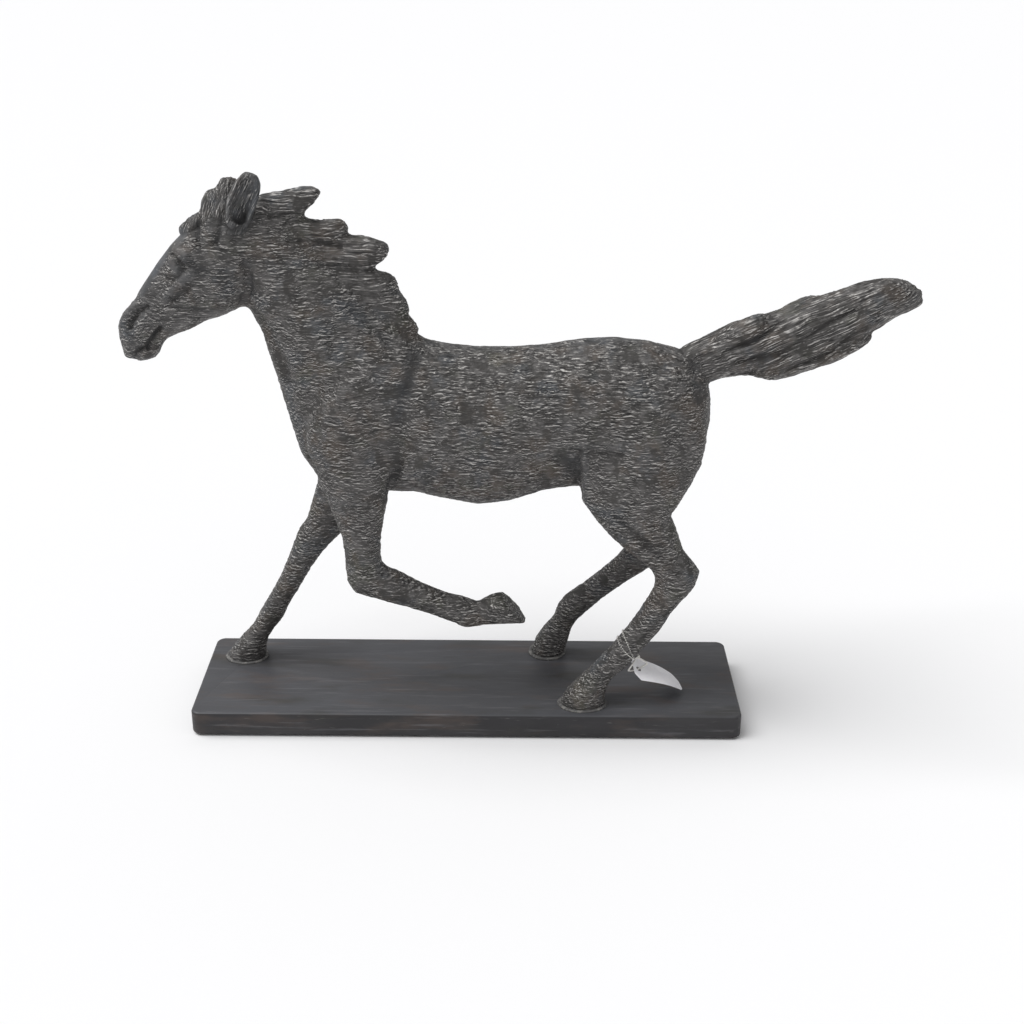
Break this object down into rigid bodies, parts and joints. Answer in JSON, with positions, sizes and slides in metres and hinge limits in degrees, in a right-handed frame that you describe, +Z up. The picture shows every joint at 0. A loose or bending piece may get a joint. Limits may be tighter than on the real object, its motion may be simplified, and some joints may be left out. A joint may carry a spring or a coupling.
{
  "type": "horse statue",
  "caption": "Cantering horse in dark textured bronze, with a flying mane and a raised tail, fixed to a long low plinth, with a blank paper tag tied to a hind leg.",
  "frame": {"origin": "centre of the underside of the felt underlay, on the surface the statue stands on", "axes": "+X from the nose towards the tail, +Y towards the horse's right side, +Z up"},
  "size_m": [0.5512, 0.116, 0.4022],
  "materials": {
    "bronze": "dark bark-textured patina, brushed silver-grey on the ridges",
    "plinth_bronze": "smooth satin charcoal patina",
    "steel": "bright zinc",
    "felt": "matte felt",
    "cotton": "twisted cotton",
    "paper": "uncoated card"
  },
  "bodies": {
    "root": {"plinth": "plinth_bronze", "felt_underlay": "felt", "trunk": "bronze", "neck": "bronze", "head": "bronze", "left_ear": "bronze", "right_ear": "bronze", "forelock": "bronze", "mane": "bronze", "tail": "bronze", "left_foreleg": "bronze", "right_foreleg": "bronze", "left_hind_leg": "bronze", "right_hind_leg": "bronze", "bedding_bead_right_fore": "plinth_bronze", "bedding_bead_left_hind": "plinth_bronze", "bedding_bead_right_hind": "plinth_bronze", "stud_right_fore": "steel", "stud_left_hind": "steel", "stud_right_hind": "steel", "washer_right_fore": "steel", "washer_left_hind": "steel", "washer_right_hind": "steel", "nut_right_fore": "steel", "nut_left_hind": "steel", "nut_right_hind": "steel", "tag_string": "cotton", "swing_tag": "paper"}
  },
  "joints": []
}
